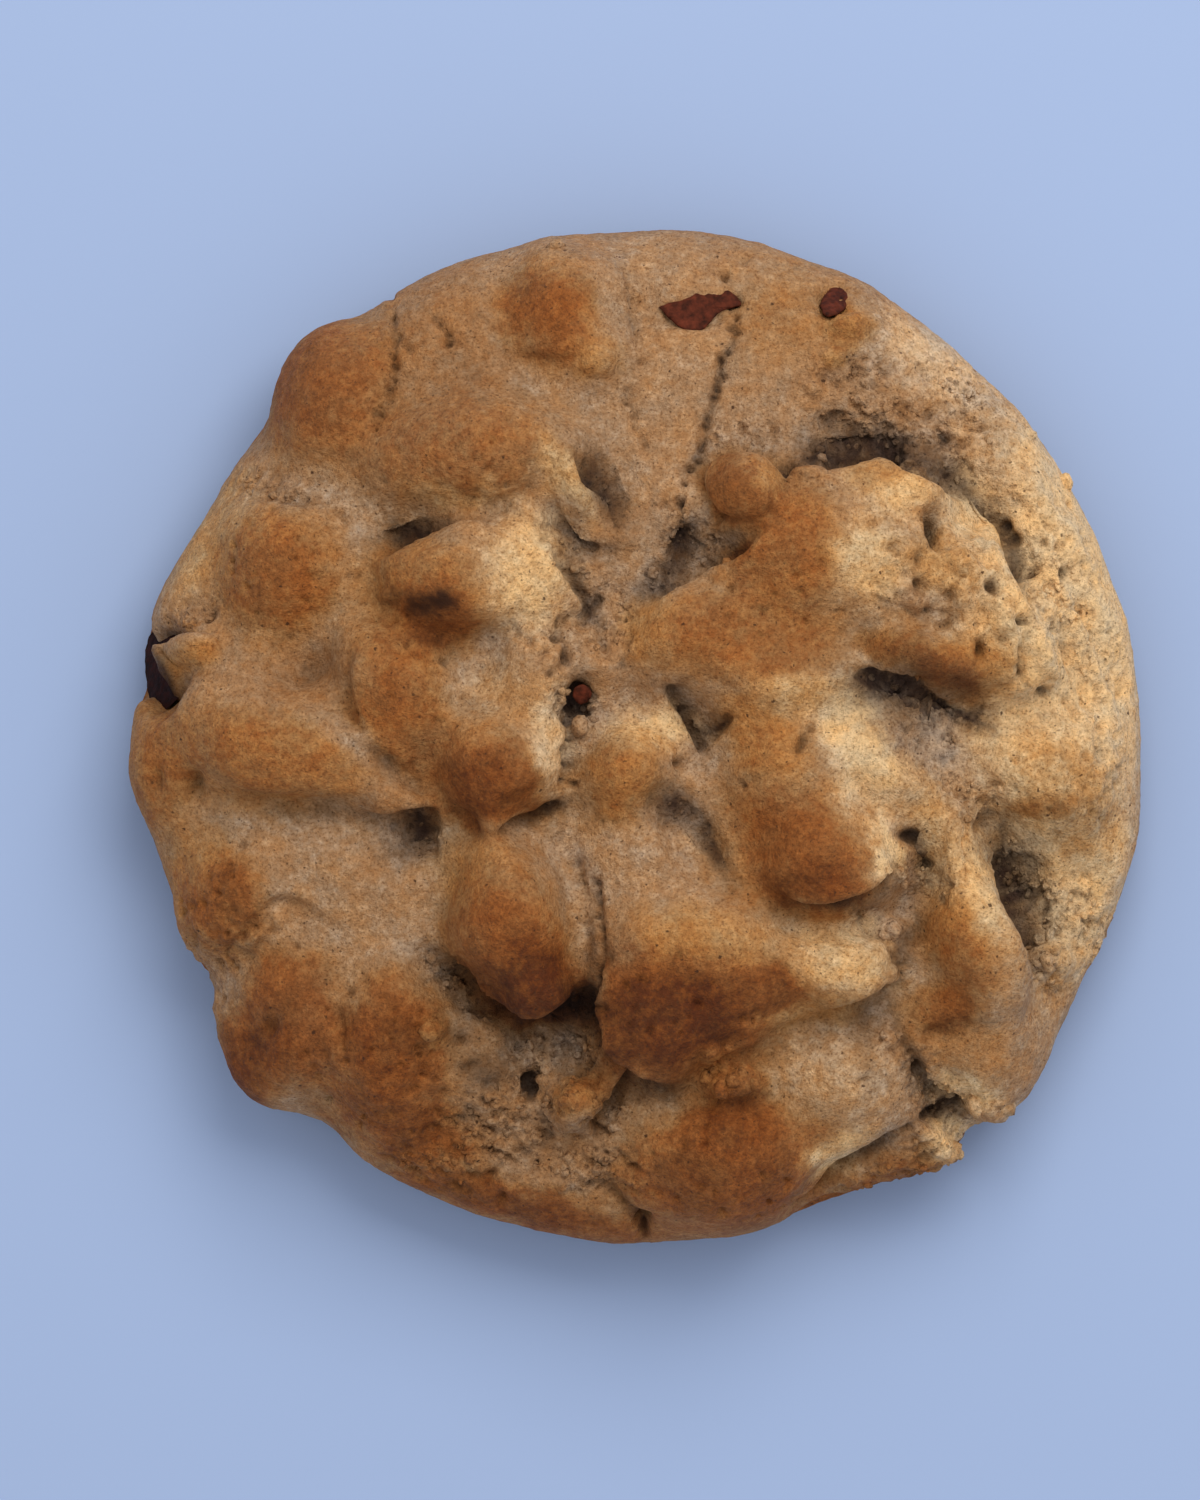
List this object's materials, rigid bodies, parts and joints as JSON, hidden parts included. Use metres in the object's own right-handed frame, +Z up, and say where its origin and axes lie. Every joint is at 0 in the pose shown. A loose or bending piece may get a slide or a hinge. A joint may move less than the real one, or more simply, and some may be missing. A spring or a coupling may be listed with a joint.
{
  "type": "chai cookie",
  "caption": "Thick round baked cookie with a craggy, lumpy top, pieces of chocolate set into the crust and a flat underside.",
  "frame": {"origin": "middle of the flat underside, where the cookie rests", "axes": "+Z up through the craggy top, +Y towards the edge that is at the top of the picture, +X to the right of the picture"},
  "size_m": [0.1112, 0.111, 0.0317],
  "materials": {
    "dough": "baked golden-brown crust, matt, with paler torn crumb",
    "chocolate": "milk chocolate, dull from baking"
  },
  "bodies": {
    "root": {"dough": "dough", "chocolate_shard": "chocolate", "chocolate_chip": "chocolate", "chocolate_chunk": "chocolate"}
  },
  "joints": []
}
